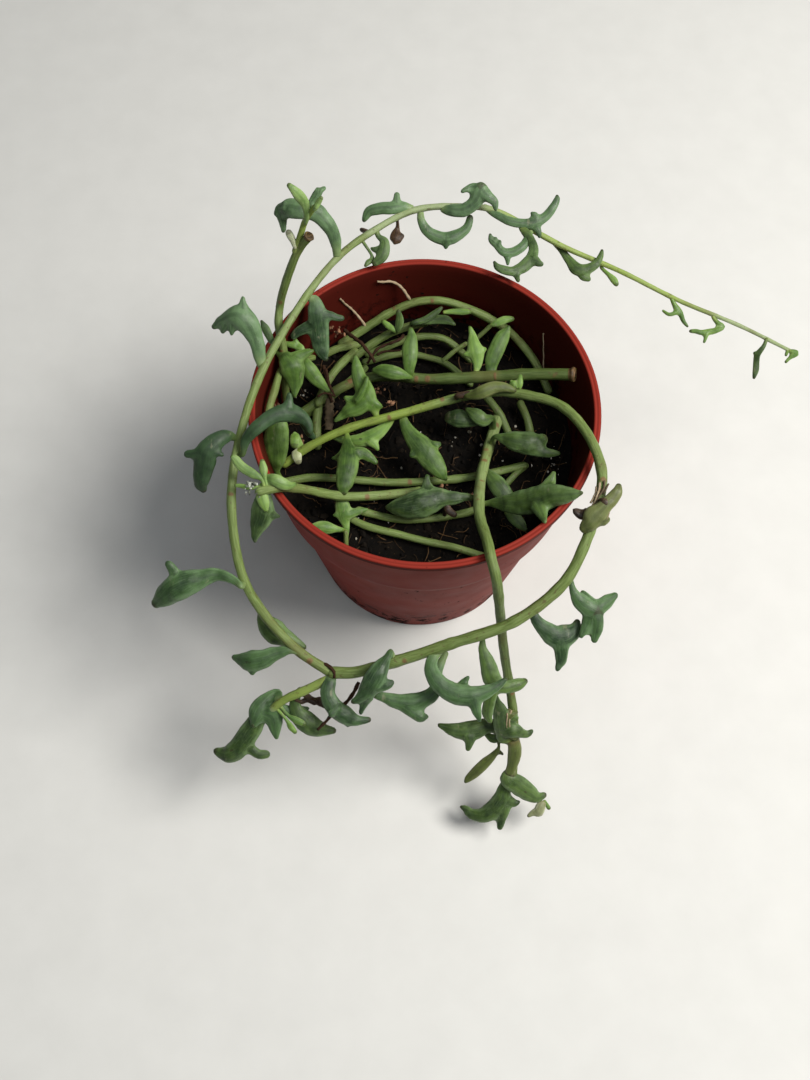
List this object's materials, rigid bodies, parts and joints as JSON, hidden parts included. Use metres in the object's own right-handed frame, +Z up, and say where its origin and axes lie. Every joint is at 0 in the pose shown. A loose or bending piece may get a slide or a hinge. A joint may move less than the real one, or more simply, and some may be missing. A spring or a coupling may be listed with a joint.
{
  "type": "potted string of dolphins plant",
  "caption": "Trailing string of dolphins succulent in a round plastic nursery pot, with runners looping over the rim.",
  "frame": {"origin": "centre of the pot's flat base, on the surface it stands on", "axes": "+Z up along the pot's axis, -Y towards the side where the front stem hangs over the rim, +X to the right seen from there"},
  "size_m": [0.23, 0.208, 0.1607],
  "materials": {
    "pot_plastic": "satin",
    "potting_mix": "matt",
    "stem": "satin",
    "leaf_blue": "satin",
    "leaf_green": "satin",
    "leaf_young": "satin",
    "leaf_dry": "matt"
  },
  "bodies": {
    "root": {"pot": "pot_plastic", "soil": "potting_mix", "main_stem": "stem", "runner_stem": "stem", "branch_stem": "stem", "front_stem": "stem", "back_stem": "stem", "cut_stem": "stem", "upright_stem": "stem", "side_shoot": "stem", "low_stem": "stem", "rim_stem": "stem", "root_loop": "stem", "front_root": "stem", "leaf_left_high": "leaf_blue", "leaf_left_inner": "leaf_blue", "leaf_back_arch": "leaf_blue", "leaf_left_mid": "leaf_blue", "leaf_over_rim": "leaf_blue", "leaf_left_low": "leaf_blue", "leaf_loop_under": "leaf_green", "leaf_loop_left": "leaf_blue", "leaf_back_left": "leaf_blue", "leaf_back_rim": "leaf_green", "leaf_back_cup": "leaf_blue", "leaf_back_top": "leaf_blue", "leaf_back_wave": "leaf_blue", "leaf_back_hook": "leaf_green", "leaf_back_right": "leaf_green", "leaf_far_first": "leaf_green", "leaf_far_second": "leaf_green", "leaf_far_third": "leaf_green", "leaf_shoot": "leaf_young", "leaf_left_stem": "leaf_young", "leaf_left_oval": "leaf_green", "leaf_inner_star": "leaf_green", "leaf_centre": "leaf_green", "leaf_centre_fork": "leaf_green", "leaf_centre_right": "leaf_green", "leaf_right_inner": "leaf_green", "leaf_inner_star_low": "leaf_green", "leaf_front_wide": "leaf_green", "leaf_inner_hang": "leaf_green", "leaf_node": "leaf_dry", "leaf_front_shark": "leaf_green", "leaf_rim_tip": "leaf_young", "leaf_loop_right": "leaf_blue", "leaf_loop_corner": "leaf_blue", "leaf_loop_whale": "leaf_blue", "leaf_loop_deep": "leaf_green", "leaf_loop_low": "leaf_blue", "leaf_loop_silver": "leaf_blue", "leaf_loop_end": "leaf_green", "leaf_branch_tip": "leaf_green", "leaf_branch_low": "leaf_green", "leaf_branch_side": "leaf_green", "leaf_front_up": "leaf_green", "leaf_front_dark": "leaf_blue", "leaf_front_low": "leaf_green", "leaf_front_end": "leaf_green"}
  },
  "joints": []
}
